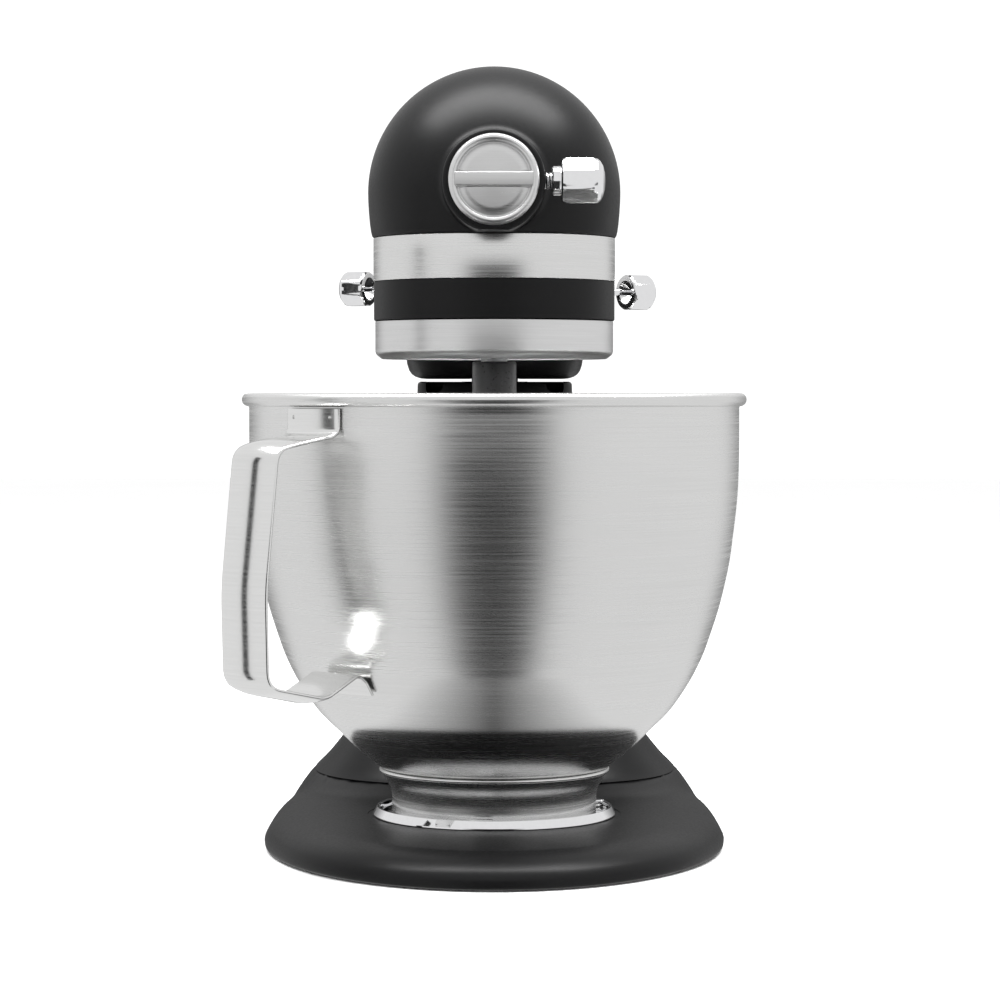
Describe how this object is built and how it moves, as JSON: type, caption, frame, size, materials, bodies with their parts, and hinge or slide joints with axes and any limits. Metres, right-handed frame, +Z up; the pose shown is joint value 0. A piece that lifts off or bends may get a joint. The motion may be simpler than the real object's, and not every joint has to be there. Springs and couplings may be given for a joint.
{
  "type": "stand mixer",
  "caption": "Tilt-head stand mixer with a rounded head, steel bowl with a strap handle, pedestal base, attachment hub, flat beater and a planetary gear train.",
  "frame": {"origin": "centre of the object's box at the level of the table, under the front of the pedestal", "axes": "+Z up, +Y from the attachment hub to the rear, +X to the right seen from the front"},
  "size_m": [0.228, 0.3597, 0.352],
  "materials": {
    "black_enamel": "matte",
    "brushed_steel": "satin",
    "satin_metal": "satin",
    "chrome": "polished",
    "rubber": "matte",
    "black_plastic": "satin",
    "machined_steel": "satin",
    "bronze": "satin",
    "laminated_steel": "matte",
    "coated_aluminium": "satin"
  },
  "bodies": {
    "base": {"base_plate": "black_enamel", "pedestal": "black_enamel", "bowl_clamp_plate": "chrome", "rubber_foot_1": "rubber", "rubber_foot_2": "rubber", "rubber_foot_3": "rubber", "rubber_foot_4": "rubber", "rubber_foot_5": "rubber", "pedestal_screw_1": "machined_steel", "pedestal_screw_2": "machined_steel", "pedestal_screw_3": "machined_steel", "pedestal_screw_4": "machined_steel", "cord_gland": "rubber", "hinge_pin": "machined_steel"},
    "height_screw": {"height_screw": "machined_steel"},
    "bowl": {"bowl_shell": "brushed_steel", "bowl_foot": "brushed_steel", "bowl_handle": "brushed_steel"},
    "head": {"motor_housing": "black_enamel", "lower_gearcase": "black_enamel", "rear_cover": "black_enamel", "trim_band": "brushed_steel", "drip_ring": "satin_metal", "ring_gear": "machined_steel", "stator": "laminated_steel", "centre_bushing": "bronze", "front_bearing": "machined_steel", "rear_bearing": "machined_steel", "front_bracket": "black_plastic", "rear_bracket": "black_plastic", "brush_holder_left": "black_plastic", "brush_holder_right": "black_plastic", "brush_cap_left": "black_plastic", "brush_cap_right": "black_plastic", "control_plate": "black_plastic", "cover_screw": "chrome"},
    "planetary": {"planetary_hub": "satin_metal", "centre_shaft": "machined_steel", "centre_gear": "machined_steel", "bevel_gear": "machined_steel"},
    "beater": {"agitator_shaft": "machined_steel", "planet_pinion": "machined_steel", "flat_beater": "coated_aluminium"},
    "wheel": {"worm_wheel": "bronze", "wheel_pinion": "machined_steel", "wheel_shaft": "machined_steel"},
    "armature": {"armature_shaft": "machined_steel", "worm": "machined_steel", "armature_core": "laminated_steel", "commutator": "bronze", "cooling_fan": "black_plastic"},
    "hub_drive": {"hub_gear": "machined_steel"},
    "hub_cap": {"hub_cap": "satin_metal"},
    "hub_screw": {"hub_screw_rod": "chrome", "hub_screw_knob": "chrome"},
    "speed_lever": {"speed_lever_rod": "chrome", "speed_lever_knob": "chrome"},
    "lock_lever": {"lock_lever_rod": "chrome", "lock_lever_knob": "chrome"}
  },
  "joints": [
    {"name": "head_tilt", "type": "hinge", "parent": "base", "child": "head", "pos_m": [0, 0.118, 0.232], "axis": [-1, 0, 0], "range_deg": [0, 50]},
    {"name": "bowl_twist", "type": "hinge", "parent": "base", "child": "bowl", "pos_m": [0, -0.042, 0.015], "axis": [0, 0, 1], "range_deg": [0, 25]},
    {"name": "planetary_spin", "type": "hinge", "parent": "head", "child": "planetary", "pos_m": [0, -0.042, 0.224], "axis": [0, 0, 1], "continuous": true},
    {"name": "beater_spin", "type": "hinge", "parent": "planetary", "child": "beater", "pos_m": [0, -0.018, 0.224], "axis": [0, 0, 1], "continuous": true},
    {"name": "wheel_spin", "type": "hinge", "parent": "head", "child": "wheel", "pos_m": [-0.0192, -0.01155, 0.28], "axis": [0, 0, 1], "continuous": true},
    {"name": "armature_spin", "type": "hinge", "parent": "head", "child": "armature", "pos_m": [0, -0.01155, 0.28], "axis": [0, 1, 0], "continuous": true},
    {"name": "hub_drive_spin", "type": "hinge", "parent": "head", "child": "hub_drive", "pos_m": [0, -0.072, 0.296], "axis": [0, 1, 0], "continuous": true},
    {"name": "hub_cap_slide", "type": "slide", "parent": "head", "child": "hub_cap", "axis": [0, -1, 0], "range_m": [0, 0.03]},
    {"name": "hub_screw_turn", "type": "hinge", "parent": "head", "child": "hub_screw", "pos_m": [0.025, -0.11, 0.296], "axis": [1, 0, 0], "range_deg": [-360, 0]},
    {"name": "speed_lever_swing", "type": "hinge", "parent": "head", "child": "speed_lever", "pos_m": [0.0338, 0.0145, 0.2529], "axis": [0, 0, -1], "range_deg": [0, 40]},
    {"name": "lock_lever_swing", "type": "hinge", "parent": "head", "child": "lock_lever", "pos_m": [-0.0298, 0.0436, 0.2554], "axis": [0, 0, 1], "range_deg": [0, 22]},
    {"name": "height_screw_turn", "type": "hinge", "parent": "base", "child": "height_screw", "pos_m": [0, 0.1095, 0.23], "axis": [0, 0, 1], "range_deg": [-180, 180]}
  ],
  "couplings": [
    {"joint": "beater_spin", "follows": "planetary_spin", "ratio": -3},
    {"joint": "wheel_spin", "follows": "planetary_spin", "ratio": -3},
    {"joint": "armature_spin", "follows": "planetary_spin", "ratio": 60},
    {"joint": "hub_drive_spin", "follows": "planetary_spin", "ratio": -2}
  ]
}
